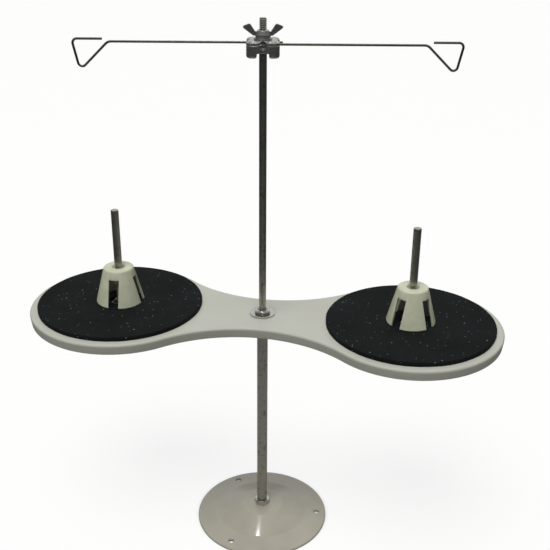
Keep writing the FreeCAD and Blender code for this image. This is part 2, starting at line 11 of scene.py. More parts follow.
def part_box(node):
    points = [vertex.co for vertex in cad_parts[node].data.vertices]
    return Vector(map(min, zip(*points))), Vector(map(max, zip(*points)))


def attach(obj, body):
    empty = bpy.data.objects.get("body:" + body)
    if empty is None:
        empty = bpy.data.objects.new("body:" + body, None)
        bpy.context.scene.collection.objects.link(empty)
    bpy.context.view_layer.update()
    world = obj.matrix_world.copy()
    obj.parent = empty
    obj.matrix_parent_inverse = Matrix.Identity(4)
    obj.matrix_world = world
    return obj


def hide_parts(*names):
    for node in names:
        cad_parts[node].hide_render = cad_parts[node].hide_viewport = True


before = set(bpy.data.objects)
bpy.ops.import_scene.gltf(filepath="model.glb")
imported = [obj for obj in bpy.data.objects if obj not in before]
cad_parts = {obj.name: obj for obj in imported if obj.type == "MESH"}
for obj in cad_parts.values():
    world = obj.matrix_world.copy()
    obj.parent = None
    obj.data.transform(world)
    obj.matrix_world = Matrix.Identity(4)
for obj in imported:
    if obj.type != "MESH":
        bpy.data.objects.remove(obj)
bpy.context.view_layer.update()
scene = bpy.context.scene
MM = 0.001


# ---------------------------------------------------------------- camera, floor and light
CAMERA_PLACE = (0.11033, -0.68197, 0.56199)
CAMERA_PAN, CAMERA_DIP, CAMERA_ROLL = 0.1464, 0.4249, 0.0078
FLOOR_RADIUS = 12.0
LAMP_PLACE = (-0.172, 0.208, 1.95)


def add(tree, kind, inputs=None, links=None, **settings):
    """Adds a node with its settings, the values of its sockets and the sockets that feed it."""
    node = tree.nodes.new(kind)
    for name, setting in settings.items():
        setattr(node, name, setting)
    for key, number in (inputs or {}).items():
        node.inputs[key].default_value = number
    for key, source in (links or {}).items():
        tree.links.new(source, node.inputs[key])
    return node


def colour(code):
    """An sRGB hex colour as linear RGBA."""
    parts = [int(code[i:i + 2], 16) / 255 for i in (1, 3, 5)]
    return (*[p / 12.92 if p <= 0.04045 else ((p + 0.055) / 1.055) ** 2.4 for p in parts], 1.0)


def set_ramp(node, *steps):
    """Gives a colour ramp its stops, each a (position, linear RGBA)."""
    stops = node.color_ramp.elements
    for position, _ in steps[1:-1]:
        stops.new(position)
    for stop, (position, shade) in zip(stops, steps):
        stop.position, stop.color = position, shade


def set_camera():
    data = bpy.data.cameras.new("camera")
    data.lens, data.sensor_width, data.shift_x = 58.82, 36.0, 0.0018
    data.clip_start, data.clip_end = 0.01, 60.0
    camera = bpy.data.objects.new("camera", data)
    turn = Matrix.Rotation(CAMERA_PAN, 4, "Z") @ Matrix.Rotation(math.pi / 2 - CAMERA_DIP, 4, "X")
    camera.matrix_world = Matrix.Translation(CAMERA_PLACE) @ turn @ Matrix.Rotation(CAMERA_ROLL, 4, "Z")
    scene.collection.objects.link(camera)
    scene.camera = camera


def set_world():
    """White to the eye, soft light on matt surfaces, and a dim room with a bright ceiling in gloss."""
    world = bpy.data.worlds.new("studio")
    world.use_nodes = True
    scene.world = world
    tree = world.node_tree
    tree.nodes.clear()
    path = add(tree, "ShaderNodeLightPath")
    direction = add(tree, "ShaderNodeTexCoord")
    upright = add(tree, "ShaderNodeSeparateXYZ", links={0: direction.outputs["Generated"]})
    room = add(tree, "ShaderNodeValToRGB", links={"Fac": upright.outputs["Z"]})
    steps = ((0.05, 0.05), (0.42, 0.14), (0.80, 0.34), (0.97, 0.5))
    set_ramp(room, *[(height, (level, level, level * 0.96, 1)) for height, level in steps])
    # a pale wall behind the stand, so that level metal faces read bright and upright ones dark
    behind = add(tree, "ShaderNodeMapRange", {"From Min": 0.1, "From Max": 0.85, "To Max": 0.62},
                 {"Value": upright.outputs["Y"]})
    above = add(tree, "ShaderNodeMapRange", {"From Min": -0.02, "From Max": 0.12},
                {"Value": upright.outputs["Z"]})
    wall = add(tree, "ShaderNodeMath", links={0: behind.outputs[0], 1: above.outputs[0]},
               operation="MULTIPLY")
    around = add(tree, "ShaderNodeVectorMath", links={0: room.outputs["Color"], 1: wall.outputs[0]},
                 operation="ADD")
    soft = add(tree, "ShaderNodeBackground", {"Color": (1.0, 0.995, 0.97, 1), "Strength": 0.24})
    gloss = add(tree, "ShaderNodeBackground", {"Strength": 1.0}, {"Color": around.outputs[0]})
    white = add(tree, "ShaderNodeBackground", {"Color": (1, 1, 1, 1), "Strength": 1.0})
    lit = add(tree, "ShaderNodeMixShader", links={
        0: path.outputs["Is Glossy Ray"], 1: soft.outputs[0], 2: gloss.outputs[0]})
    seen = add(tree, "ShaderNodeMixShader", links={
        0: path.outputs["Is Camera Ray"], 1: lit.outputs[0], 2: white.outputs[0]})
    add(tree, "ShaderNodeOutputWorld", links={"Surface": seen.outputs[0]})


def set_floor():
    """A pale floor that glows to the eye outside the base and takes a faint shadow. In gloss it is dim away
    from the stand, so that the rods read as dark metal."""
    mesh = bpy.data.meshes.new("floor")
    corners = [(FLOOR_RADIUS * math.cos(k * math.tau / 64), FLOOR_RADIUS * math.sin(k * math.tau / 64), 0)
               for k in range(64)]
    mesh.from_pydata(corners, [], [range(64)])
    floor = bpy.data.objects.new("floor", mesh)
    scene.collection.objects.link(floor)
    material = bpy.data.materials.new("matt_white_paper_sweep")
    material.use_nodes = True
    tree = material.node_tree
    tree.nodes.clear()
    path = add(tree, "ShaderNodeLightPath")
    place = add(tree, "ShaderNodeTexCoord")
    reach = add(tree, "ShaderNodeVectorMath", links={0: place.outputs["Object"]}, operation="LENGTH")
    fall = add(tree, "ShaderNodeValToRGB", links={"Fac": reach.outputs["Value"]})
    steps = ((0.0, 0.30), (0.36, 0.25), (0.56, 0.13), (0.76, 0.06), (1.0, 0.035))
    set_ramp(fall, *[(distance, (level, level, level * 0.94, 1)) for distance, level in steps])
    open_floor = add(tree, "ShaderNodeMapRange", {"From Min": 0.056, "From Max": 0.064, "To Max": 0.84},
                     {"Value": reach.outputs["Value"]})
    paper = add(tree, "ShaderNodeBsdfDiffuse", {"Color": (0.95, 0.95, 0.94, 1)})
    glow = add(tree, "ShaderNodeEmission", {"Color": (1, 1, 1, 1), "Strength": 1.0})
    seen = add(tree, "ShaderNodeMixShader", links={
        0: open_floor.outputs[0], 1: paper.outputs[0], 2: glow.outputs[0]})
    bounce = add(tree, "ShaderNodeBsdfDiffuse", {"Color": (0.24, 0.24, 0.23, 1)})
    dim = add(tree, "ShaderNodeEmission", {"Strength": 1.0}, {"Color": fall.outputs[0]})
    unseen = add(tree, "ShaderNodeMixShader", links={
        0: path.outputs["Is Glossy Ray"], 1: bounce.outputs[0], 2: dim.outputs[0]})
    whole = add(tree, "ShaderNodeMixShader", links={
        0: path.outputs["Is Camera Ray"], 1: unseen.outputs[0], 2: seen.outputs[0]})
    add(tree, "ShaderNodeOutputMaterial", links={"Surface": whole.outputs[0]})
    mesh.materials.append(material)


def set_lights():
    """A wide soft key from above and a little in front, and one small ceiling lamp, without a shadow, for
    the highlights."""
    key = bpy.data.lights.new("key", "SUN")
    key.energy, key.angle, key.color = 2.36, math.radians(36), (1.0, 0.995, 0.97)
    key_lamp = bpy.data.objects.new("key", key)
    key_lamp.rotation_euler = (math.radians(20), math.radians(-5), 0)
    key_lamp.visible_glossy = False
    small = bpy.data.lights.new("ceiling_lamp", "AREA")
    small.shape, small.size, small.size_y = "RECTANGLE", 0.10, 0.03
    small.energy = 2.4
    small.use_shadow = False
    small.cycles.use_multiple_importance_sampling = False
    small_lamp = bpy.data.objects.new("ceiling_lamp", small)
    small_lamp.location = LAMP_PLACE
    for lamp in (key_lamp, small_lamp):
        scene.collection.objects.link(lamp)


scene.view_settings.view_transform = "Standard"
set_camera()
set_world()
set_floor()
set_lights()


# ---------------------------------------------------------------- materials
def per_mm(size):
    """The texture scale that gives a pattern of this size in millimetres on Object coordinates."""
    return 1 / (size * MM)


def start_material(name):
    """An empty material with its Object coordinates and a Principled shader on its output."""
    material = bpy.data.materials.new(name)
    material.use_nodes = True
    tree = material.node_tree
    tree.nodes.clear()
    place = add(tree, "ShaderNodeTexCoord").outputs["Object"]
    shader = add(tree, "ShaderNodeBsdfPrincipled")
    add(tree, "ShaderNodeOutputMaterial", links={"Surface": shader.outputs["BSDF"]})
    return material, tree, place, shader


def set_shader(tree, shader, values, **sources):
    for name, number in values.items():
        shader.inputs[name].default_value = number
    for name, source in sources.items():
        tree.links.new(source, shader.inputs[name.replace("_", " ")])


def make_moulded_abs():
    """ABS, injection moulded: an even warm grey with a satin sheen from a finely sparked mould, and faint
    rubs that change only the gloss."""
    material, tree, place, shader = start_material("injection_moulded_abs_warm_grey")
    cloud = add(tree, "ShaderNodeTexNoise", {"Scale": per_mm(70), "Detail": 3.0, "Roughness": 0.5},
                {"Vector": place})
    tint = add(tree, "ShaderNodeValToRGB", links={"Fac": cloud.outputs["Fac"]})
    set_ramp(tint, (0.3, colour("#b3b4ab")), (0.7, colour("#bbbcb3")))
    # the sparked grain is about 0.2 mm on the real part and is drawn at 0.9 mm so that it shows
    grain = add(tree, "ShaderNodeTexNoise", {"Scale": per_mm(0.9), "Detail": 4.0, "Roughness": 0.6},
                {"Vector": place})
    stretch = add(tree, "ShaderNodeMapping", {"Rotation": (0, 0, 0.5), "Scale": (1, 9, 1)}, {"Vector": place})
    rub = add(tree, "ShaderNodeTexNoise", {"Scale": per_mm(38), "Detail": 5.0, "Roughness": 0.62},
              {"Vector": stretch.outputs[0]})
    gloss = add(tree, "ShaderNodeMapRange", {
        "From Min": 0.35, "From Max": 0.7, "To Min": 0.40, "To Max": 0.52}, {"Value": rub.outputs["Fac"]})
    relief = add(tree, "ShaderNodeBump", {"Strength": 0.5, "Distance": 0.02 * MM},
                 {"Height": grain.outputs["Fac"]})
    set_shader(tree, shader, {"IOR": 1.54}, Base_Color=tint.outputs[0], Roughness=gloss.outputs[0],
               Normal=relief.outputs[0])
    return material


def make_gloss_enamel():
    """Stoving enamel sprayed on pressed steel: a hard gloss with a slow orange peel, dust nibs under the
    film and a slightly uneven grey."""
    material, tree, place, shader = start_material("sprayed_stoving_enamel_grey")
    cloud = add(tree, "ShaderNodeTexNoise", {"Scale": per_mm(34), "Detail": 4.0, "Roughness": 0.55},
                {"Vector": place})
    tint = add(tree, "ShaderNodeValToRGB", links={"Fac": cloud.outputs["Fac"]})
    set_ramp(tint, (0.32, colour("#9c988c")), (0.68, colour("#a6a396")))
    nibs = add(tree, "ShaderNodeTexVoronoi", {"Scale": per_mm(5.5), "Randomness": 1.0}, {"Vector": place})
    nib = add(tree, "ShaderNodeMapRange", {
        "From Min": 0.03, "From Max": 0.09, "To Min": 1.0, "To Max": 0.0},
              {"Value": nibs.outputs["Distance"]})
    peel = add(tree, "ShaderNodeTexNoise", {"Scale": per_mm(3.2), "Detail": 2.0, "Roughness": 0.4},
               {"Vector": place})
    height = add(tree, "ShaderNodeMath", {1: 0.35}, {0: nib.outputs[0], 2: peel.outputs["Fac"]},
                 operation="MULTIPLY_ADD")
    relief = add(tree, "ShaderNodeBump", {"Strength": 0.25, "Distance": 0.03 * MM},
                 {"Height": height.outputs[0]})
    wipe = add(tree, "ShaderNodeMapRange", {
        "From Min": 0.3, "From Max": 0.75, "To Min": 0.34, "To Max": 0.46}, {"Value": cloud.outputs["Fac"]})
    set_shader(tree, shader, {"IOR": 1.52, "Coat Weight": 0.6, "Coat Roughness": 0.085, "Coat IOR": 1.5},
               Base_Color=tint.outputs[0], Roughness=wipe.outputs[0], Normal=relief.outputs[0])
    return material


def make_closed_cell_foam():
    """EVA foam, sliced and die cut: matt black with small closed cells that catch pale dust and lint."""
    material, tree, place, shader = start_material("die_cut_eva_foam_black")
    # cells are about 0.3 mm on the real foam and are drawn at 0.8 mm so that they show
    cells = add(tree, "ShaderNodeTexVoronoi", {"Scale": per_mm(0.8), "Randomness": 1.0}, {"Vector": place})
    patch = add(tree, "ShaderNodeTexNoise", {"Scale": per_mm(26), "Detail": 5.0, "Roughness": 0.6},
                {"Vector": place})
    tint = add(tree, "ShaderNodeValToRGB", links={"Fac": patch.outputs["Fac"]})
    set_ramp(tint, (0.3, colour("#111414")), (0.72, colour("#191c1d")))
    # painted shade: the colour is darker towards the middle of each cell, where the bump sinks, and lighter
    # at the cell walls
    pits = add(tree, "ShaderNodeMapRange", {"From Min": 0.0, "From Max": 0.6, "To Min": 0.55, "To Max": 1.15},
               {"Value": cells.outputs["Distance"]})
    shaded = add(tree, "ShaderNodeVectorMath", links={0: tint.outputs[0], 1: pits.outputs[0]},
                 operation="MULTIPLY")
    # lint: pale and bluish specks of 0.6 to 1.1 mm across, denser where dust has gathered
    spot = add(tree, "ShaderNodeTexVoronoi", {"Scale": per_mm(2.8), "Randomness": 1.0}, {"Vector": place})
    speck = add(tree, "ShaderNodeMapRange", {
        "From Min": 0.10, "From Max": 0.20, "To Min": 1.0, "To Max": 0.0},
                {"Value": spot.outputs["Distance"]})
    lot = add(tree, "ShaderNodeSeparateColor", links={0: spot.outputs["Color"]})
    chance = add(tree, "ShaderNodeMath", {1: 0.45}, {0: patch.outputs["Fac"], 2: lot.outputs[0]},
                 operation="MULTIPLY_ADD")
    kept = add(tree, "ShaderNodeMapRange", {
        "From Min": 0.92, "From Max": 1.18, "To Min": 0.0, "To Max": 0.75}, {"Value": chance.outputs[0]})
    amount = add(tree, "ShaderNodeMath", links={0: speck.outputs[0], 1: kept.outputs[0]},
                 operation="MULTIPLY")
    fluff = add(tree, "ShaderNodeMix", {6: colour("#b4b8ba"), 7: colour("#5f8496")},
                {"Factor": lot.outputs[1]}, data_type="RGBA")
    lint = add(tree, "ShaderNodeMix", links={
        "Factor": amount.outputs[0], 6: shaded.outputs[0], 7: fluff.outputs[2]}, data_type="RGBA")
    relief = add(tree, "ShaderNodeBump", {"Strength": 0.8, "Distance": 0.12 * MM},
                 {"Height": cells.outputs["Distance"]})
    set_shader(tree, shader, {"IOR": 1.45, "Roughness": 0.94, "Specular IOR Level": 0.25},
               Base_Color=lint.outputs[2], Normal=relief.outputs[0])
    return material


def make_ivory_polypropylene():
    """Polypropylene, injection moulded in ivory: a waxy half gloss that lets a little light in, with faint
    flow lines and a trace of grime."""
    material, tree, place, shader = start_material("injection_moulded_polypropylene_ivory")
    cloud = add(tree, "ShaderNodeTexNoise", {"Scale": per_mm(9), "Detail": 4.0, "Roughness": 0.55},
                {"Vector": place})
    tint = add(tree, "ShaderNodeValToRGB", links={"Fac": cloud.outputs["Fac"]})
    set_ramp(tint, (0.28, colour("#c0c3ab")), (0.66, colour("#cccfb9")))
    squeeze = add(tree, "ShaderNodeMapping", {"Scale": (1, 1, 0.25)}, {"Vector": place})
    flow = add(tree, "ShaderNodeTexNoise", {"Scale": per_mm(2.4), "Detail": 3.0, "Roughness": 0.5},
               {"Vector": squeeze.outputs[0]})
    gloss = add(tree, "ShaderNodeMapRange", {
        "From Min": 0.3, "From Max": 0.7, "To Min": 0.34, "To Max": 0.46}, {"Value": flow.outputs["Fac"]})
    relief = add(tree, "ShaderNodeBump", {"Strength": 0.5, "Distance": 0.03 * MM},
                 {"Height": flow.outputs["Fac"]})
    set_shader(tree, shader, {
        "IOR": 1.49, "Subsurface Weight": 0.18, "Subsurface Scale": 1.6 * MM,
        "Subsurface Radius": (1.0, 0.9, 0.6)},
        Base_Color=tint.outputs[0], Roughness=gloss.outputs[0], Normal=relief.outputs[0])
    return material


def make_nickel_rod():
    """Cold-drawn steel rod with a thin nickel plate: bright metal with fine lines along its length and
    small dull spots where the plate has tarnished."""
    material, tree, place, shader = start_material("nickel_plated_drawn_steel")
    stretch = add(tree, "ShaderNodeMapping", {"Scale": (1, 1, 0.03)}, {"Vector": place})
    # drawing lines are far finer than 0.5 mm and are drawn at 0.5 mm so that they show
    lines = add(tree, "ShaderNodeTexNoise", {"Scale": per_mm(0.5), "Detail": 3.0, "Roughness": 0.6},
                {"Vector": stretch.outputs[0]})
    patch = add(tree, "ShaderNodeTexNoise", {"Scale": per_mm(4.5), "Detail": 6.0, "Roughness": 0.65},
                {"Vector": place})
    tarnish = add(tree, "ShaderNodeMapRange", {"From Min": 0.52, "From Max": 0.72},
                  {"Value": patch.outputs["Fac"]})
    tint = add(tree, "ShaderNodeMix", {6: colour("#b9b8b1"), 7: colour("#8a8374")},
               {"Factor": tarnish.outputs[0]}, data_type="RGBA")
    dull = add(tree, "ShaderNodeMath", {1: 0.22}, {0: tarnish.outputs[0], 2: lines.outputs["Fac"]},
               operation="MULTIPLY_ADD")
    gloss = add(tree, "ShaderNodeMapRange", {"From Min": 0.3, "From Max": 0.9, "To Min": 0.32, "To Max": 0.5},
                {"Value": dull.outputs[0]})
    relief = add(tree, "ShaderNodeBump", {"Strength": 0.4, "Distance": 0.01 * MM},
                 {"Height": lines.outputs["Fac"]})
    set_shader(tree, shader, {"Metallic": 1.0}, Base_Color=tint.outputs[2], Roughness=gloss.outputs[0],
               Normal=relief.outputs[0])
    return material


def make_bright_zinc():
    """Bright zinc plate on turned and pressed steel: nearly white metal with a faint warm and blue cast, and
    fine tool marks."""
    material, tree, place, shader = start_material("bright_zinc_plated_steel")
    patch = add(tree, "ShaderNodeTexNoise", {"Scale": per_mm(3.5), "Detail": 4.0, "Roughness": 0.6},
                {"Vector": place})
    tint = add(tree, "ShaderNodeValToRGB", links={"Fac": patch.outputs["Fac"]})
    set_ramp(tint, (0.3, colour("#bfc2c4")), (0.7, colour("#d2cfc4")))
    # tool marks are finer than 0.7 mm on the real parts and are drawn at 0.7 mm so that they show
    marks = add(tree, "ShaderNodeTexNoise", {"Scale": per_mm(0.7), "Detail": 3.0, "Roughness": 0.6},
                {"Vector": place})
    gloss = add(tree, "ShaderNodeMapRange", {
        "From Min": 0.3, "From Max": 0.7, "To Min": 0.20, "To Max": 0.36}, {"Value": marks.outputs["Fac"]})
    relief = add(tree, "ShaderNodeBump", {"Strength": 0.4, "Distance": 0.02 * MM},
                 {"Height": marks.outputs["Fac"]})
    set_shader(tree, shader, {"Metallic": 1.0}, Base_Color=tint.outputs[0], Roughness=gloss.outputs[0],
               Normal=relief.outputs[0])
    return material


def make_zinc_casting():
    """Zinc alloy, die cast and nickel flashed: grey metal with a soft cast skin and small pits, and a lighter
    colour on the convex edges that is a painted highlight."""
    material, tree, place, shader = start_material("die_cast_zinc_nickel_flashed")
    skin = add(tree, "ShaderNodeTexNoise", {"Scale": per_mm(1.3), "Detail": 6.0, "Roughness": 0.62},
               {"Vector": place})
    pits = add(tree, "ShaderNodeTexVoronoi", {"Scale": per_mm(2.6), "Randomness": 1.0}, {"Vector": place})
    pit = add(tree, "ShaderNodeMapRange", {"From Min": 0.02, "From Max": 0.12},
              {"Value": pits.outputs["Distance"]})
    height = add(tree, "ShaderNodeMath", {1: 0.5}, {0: pit.outputs[0], 2: skin.outputs["Fac"]},
                 operation="MULTIPLY_ADD")
    # painted highlight: the colour turns lighter where the surface is most convex, along the edges
    highlight_curvature = add(tree, "ShaderNodeNewGeometry")
    edge = add(tree, "ShaderNodeMapRange", {"From Min": 0.505, "From Max": 0.54},
               {"Value": highlight_curvature.outputs["Pointiness"]})
    tint = add(tree, "ShaderNodeMix", {6: colour("#bdbdba"), 7: colour("#ecebe6")},
               {"Factor": edge.outputs[0]}, data_type="RGBA")
    gloss = add(tree, "ShaderNodeMapRange", {
        "From Min": 0.3, "From Max": 0.7, "To Min": 0.18, "To Max": 0.34}, {"Value": skin.outputs["Fac"]})
    relief = add(tree, "ShaderNodeBump", {"Strength": 0.5, "Distance": 0.06 * MM},
                 {"Height": height.outputs[0]})
    set_shader(tree, shader, {"Metallic": 0.9}, Base_Color=tint.outputs[2], Roughness=gloss.outputs[0],
               Normal=relief.outputs[0])
    return material


def make_spring_wire():
    """Hard-drawn spring wire: dark bright steel with die lines along it and a light film of oil stain."""
    material, tree, place, shader = start_material("hard_drawn_spring_wire")
    stretch = add(tree, "ShaderNodeMapping", {"Scale": (0.05, 1, 1)}, {"Vector": place})
    # die lines are far finer than 0.4 mm and are drawn at 0.4 mm so that they show
    lines = add(tree, "ShaderNodeTexNoise", {"Scale": per_mm(0.4), "Detail": 3.0, "Roughness": 0.6},
                {"Vector": stretch.outputs[0]})
    stain = add(tree, "ShaderNodeTexNoise", {"Scale": per_mm(6), "Detail": 4.0, "Roughness": 0.6},
                {"Vector": place})
    tint = add(tree, "ShaderNodeValToRGB", links={"Fac": stain.outputs["Fac"]})
    set_ramp(tint, (0.3, colour("#8b897f")), (0.7, colour("#a3a29c")))
    gloss = add(tree, "ShaderNodeMapRange", {
        "From Min": 0.3, "From Max": 0.7, "To Min": 0.24, "To Max": 0.38}, {"Value": lines.outputs["Fac"]})
    relief = add(tree, "ShaderNodeBump", {"Strength": 0.4, "Distance": 0.01 * MM},
                 {"Height": lines.outputs["Fac"]})
    set_shader(tree, shader, {"Metallic": 1.0}, Base_Color=tint.outputs[0], Roughness=gloss.outputs[0],
               Normal=relief.outputs[0])
    return material


tray_abs = make_moulded_abs()
enamel = make_gloss_enamel()
foam = make_closed_cell_foam()
ivory = make_ivory_polypropylene()
nickel = make_nickel_rod()
zinc = make_bright_zinc()
casting = make_zinc_casting()
spring_wire = make_spring_wire()


# ---------------------------------------------------------------- shapes
def rounded(corners, step=12.0):
    """An outline of (across, up, rounding) corners with each corner turned into an arc."""
    outline = []
    for i, (across, up, rounding) in enumerate(corners):
        here = Vector((across, up))
        if rounding == 0:
            outline.append(here)
            continue
        before = Vector(corners[i - 1][:2]) - here
        after = Vector(corners[(i + 1) % len(corners)][:2]) - here
        half = before.angle(after) / 2
        reach = min(rounding / math.tan(half), 0.49 * before.length, 0.49 * after.length)
        radius = reach * math.tan(half)
        before.normalize()
        after.normalize()
        centre = here + (before + after).normalized() * (radius / math.sin(half))
        start, end = here + before * reach - centre, here + after * reach - centre
        first = math.atan2(start.y, start.x)
        sweep = (math.atan2(end.y, end.x) - first + math.pi) % math.tau - math.pi
        steps = max(2, math.ceil(abs(math.degrees(sweep)) / step))
        for k in range(steps + 1):
            angle = first + sweep * k / steps
            outline.append(centre + radius * Vector((math.cos(angle), math.sin(angle))))
    return outline


def new_object(name, bm, sharp=32.0):
    """The built shape as an object, smooth except where faces meet at more than the sharp angle."""
    bmesh.ops.remove_doubles(bm, verts=bm.verts, dist=0.0005 * MM)
    bmesh.ops.recalc_face_normals(bm, faces=bm.faces)
    mesh = bpy.data.meshes.new(name)
    bm.to_mesh(mesh)
    bm.free()
    mesh.shade_smooth()
    mesh.set_sharp_from_angle(angle=math.radians(sharp))
    made = bpy.data.objects.new(name, mesh)
    scene.collection.objects.link(made)
    return made


def loft(bm, loops, closed):
    """Faces between neighbouring loops of points. A loop of one point is a pole."""
    rows = [[bm.verts.new(Vector(point) * MM) for point in loop] for loop in loops]
    pairs = list(zip(rows, rows[1:] + rows[:1])) if closed else list(zip(rows, rows[1:]))
    for low, high in pairs:
        count = max(len(low), len(high))
        for k in range(count if count > 1 else 0):
            corners = [low[k % len(low)], low[(k + 1) % len(low)],
                       high[(k + 1) % len(high)], high[k % len(high)]]
            bm.faces.new(list(dict.fromkeys(corners)))
    return rows


def capped(name, loops):
    """A solid through the loops of points, with a face over each end."""
    bm = bmesh.new()
    rows = loft(bm, loops, closed=False)
    bm.faces.new(rows[0])
    bm.faces.new(rows[-1])
    return new_object(name, bm)


def turned(name, outline, segments=96, swell=None):
    """A solid turned round the Z axis from a closed outline of (radius, height). swell gives the radius
    that a point really has at an angle, for outlines that aren't round."""
    bm = bmesh.new()
    loops = []
    for radius, height in outline:
        if radius < 1e-6:
            loops.append([(0, 0, height)])
            continue
        ring = []
        for k in range(segments):
            angle = math.tau * k / segments
            true_radius, true_height = swell(radius, height, angle) if swell else (radius, height)
            ring.append((true_radius * math.cos(angle), true_radius * math.sin(angle), true_height))
        loops.append(ring)
    loft(bm, loops, closed=True)
    return new_object(name, bm)


def moved(made, x=0.0, z=0.0, turn=0.0):
    """Puts the place into the mesh, so that the object itself stays at the origin."""
    made.data.transform(Matrix.Translation(Vector((x, 0, z)) * MM) @ Matrix.Rotation(turn, 4, "Z"))
    return made


def baked(made):
    """Turns the evaluated object into a plain mesh object and drops the one it came from."""
    graph = bpy.context.evaluated_depsgraph_get()
    mesh = bpy.data.meshes.new_from_object(
        made.evaluated_get(graph), preserve_all_data_layers=True, depsgraph=graph)
    name = made.name
    bpy.data.objects.remove(made)
    plain = bpy.data.objects.new(name, mesh)
    scene.collection.objects.link(plain)
    return plain


def combined(made, tool, operation):
    """Joins the tool to the shape, or cuts it away, and drops the tool."""
    modifier = made.modifiers.new(operation.lower(), "BOOLEAN")
    modifier.operation, modifier.solver, modifier.object = operation, "EXACT", tool
    result = baked(made)
    bpy.data.objects.remove(tool)
    return result


def bevelled(made, width, segments=2, angle=40.0):
    modifier = made.modifiers.new("edge_rounding", "BEVEL")
    modifier.width, modifier.segments = width * MM, segments
    modifier.limit_method, modifier.angle_limit = "ANGLE", math.radians(angle)
    return baked(made)


def shade(made, sharp=32.0):
    made.data.shade_smooth()
    made.data.set_sharp_from_angle(angle=math.radians(sharp))
    return made


def add_piece(made, material, body, node):
    """The finished piece rides on its body and stands for its node."""
    made.data.materials.clear()
    made.data.materials.append(material)
    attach(made, body)
    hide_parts(node)


# ---------------------------------------------------------------- Geometry Nodes
def new_tree(name, *sockets):
    """A geometry tree with named inputs, its Group Input node and its two ends."""
    tree = bpy.data.node_groups.new(name, "GeometryNodeTree")
    tree.interface.new_socket("Geometry", in_out="OUTPUT", socket_type="NodeSocketGeometry")
    tree.interface.new_socket("Geometry", in_out="INPUT", socket_type="NodeSocketGeometry")
    for label, kind in sockets:
        tree.interface.new_socket(label, in_out="INPUT", socket_type=f"NodeSocket{kind}")
    return tree, add(tree, "NodeGroupInput").outputs


def end_tree(tree, geometry, finish):
    real = add(tree, "GeometryNodeRealizeInstances", links={0: geometry})
    painted = add(tree, "GeometryNodeSetMaterial", links={"Geometry": real.outputs[0], "Material": finish})
    add(tree, "NodeGroupOutput", links={0: painted.outputs[0]})


def run_tree(made, tree, **numbers):
    """Sets the tree's named inputs on the object and bakes the result."""
    modifier = made.modifiers.new(tree.name, "NODES")
    modifier.node_group = tree
    sockets = {item.name: item.identifier for item in tree.interface.items_tree if item.in_out == "INPUT"}
    for name, number in numbers.items():
        modifier[sockets[name.replace("_", " ")]] = number
    return baked(made)


def make_thread_tree():
    """Cuts a screw thread between Low and High: each point outside Core sinks by up to Depth, by where it
    lies along a helix of that Pitch. The thread runs out over half a pitch at each end."""
    tree, given = new_tree("cut_screw_thread", ("Low", "Float"), ("High", "Float"), ("Pitch", "Float"),
                           ("Depth", "Float"), ("Core", "Float"), ("Finish", "Material"))
    place = add(tree, "GeometryNodeInputPosition")
    axes = add(tree, "ShaderNodeSeparateXYZ", links={0: place.outputs[0]})
    flat = add(tree, "ShaderNodeCombineXYZ", links={0: axes.outputs[0], 1: axes.outputs[1]})
    radius = add(tree, "ShaderNodeVectorMath", links={0: flat.outputs[0]}, operation="LENGTH")
    outward = add(tree, "ShaderNodeVectorMath", links={0: flat.outputs[0]}, operation="NORMALIZE")
    angle = add(tree, "ShaderNodeMath", links={0: axes.outputs[1], 1: axes.outputs[0]}, operation="ARCTAN2")
    lead = add(tree, "ShaderNodeMath", {1: math.tau}, {0: angle.outputs[0]}, operation="DIVIDE")
    turns = add(tree, "ShaderNodeMath", links={0: axes.outputs[2], 1: given["Pitch"]}, operation="DIVIDE")
    phase = add(tree, "ShaderNodeMath", links={0: turns.outputs[0], 1: lead.outputs[0]}, operation="SUBTRACT")
    tooth = add(tree, "ShaderNodeMath", {1: 0.5}, {0: phase.outputs[0]}, operation="PINGPONG")
    groove = add(tree, "ShaderNodeMapRange", {"From Min": 0.07, "From Max": 0.46},
                 {"Value": tooth.outputs[0]})
    half_pitch = add(tree, "ShaderNodeMath", {1: 0.5}, {0: given["Pitch"]}, operation="MULTIPLY")
    above = add(tree, "ShaderNodeMath", links={0: axes.outputs[2], 1: given["Low"]}, operation="SUBTRACT")
    below = add(tree, "ShaderNodeMath", links={0: given["High"], 1: axes.outputs[2]}, operation="SUBTRACT")
    nearest = add(tree, "ShaderNodeMath", links={0: above.outputs[0], 1: below.outputs[0]},
                  operation="MINIMUM")
    inside = add(tree, "ShaderNodeMath", links={0: nearest.outputs[0], 1: half_pitch.outputs[0]},
                 operation="DIVIDE", use_clamp=True)
    sunk = add(tree, "ShaderNodeMath", links={0: groove.outputs[0], 1: inside.outputs[0]},
               operation="MULTIPLY")
    depth = add(tree, "ShaderNodeMath", links={0: sunk.outputs[0], 1: given["Depth"]}, operation="MULTIPLY")
    inwards = add(tree, "ShaderNodeMath", {1: -1.0}, {0: depth.outputs[0]}, operation="MULTIPLY")
    offset = add(tree, "ShaderNodeVectorMath", links={0: outward.outputs[0], "Scale": inwards.outputs[0]},
                 operation="SCALE")
    outer = add(tree, "ShaderNodeMath", links={0: radius.outputs["Value"], 1: given["Core"]},
                operation="GREATER_THAN")
    cut = add(tree, "GeometryNodeSetPosition", links={
        "Geometry": given["Geometry"], "Selection": outer.outputs[0], "Offset": offset.outputs[0]})
    end_tree(tree, cut.outputs[0], given["Finish"])
    return tree


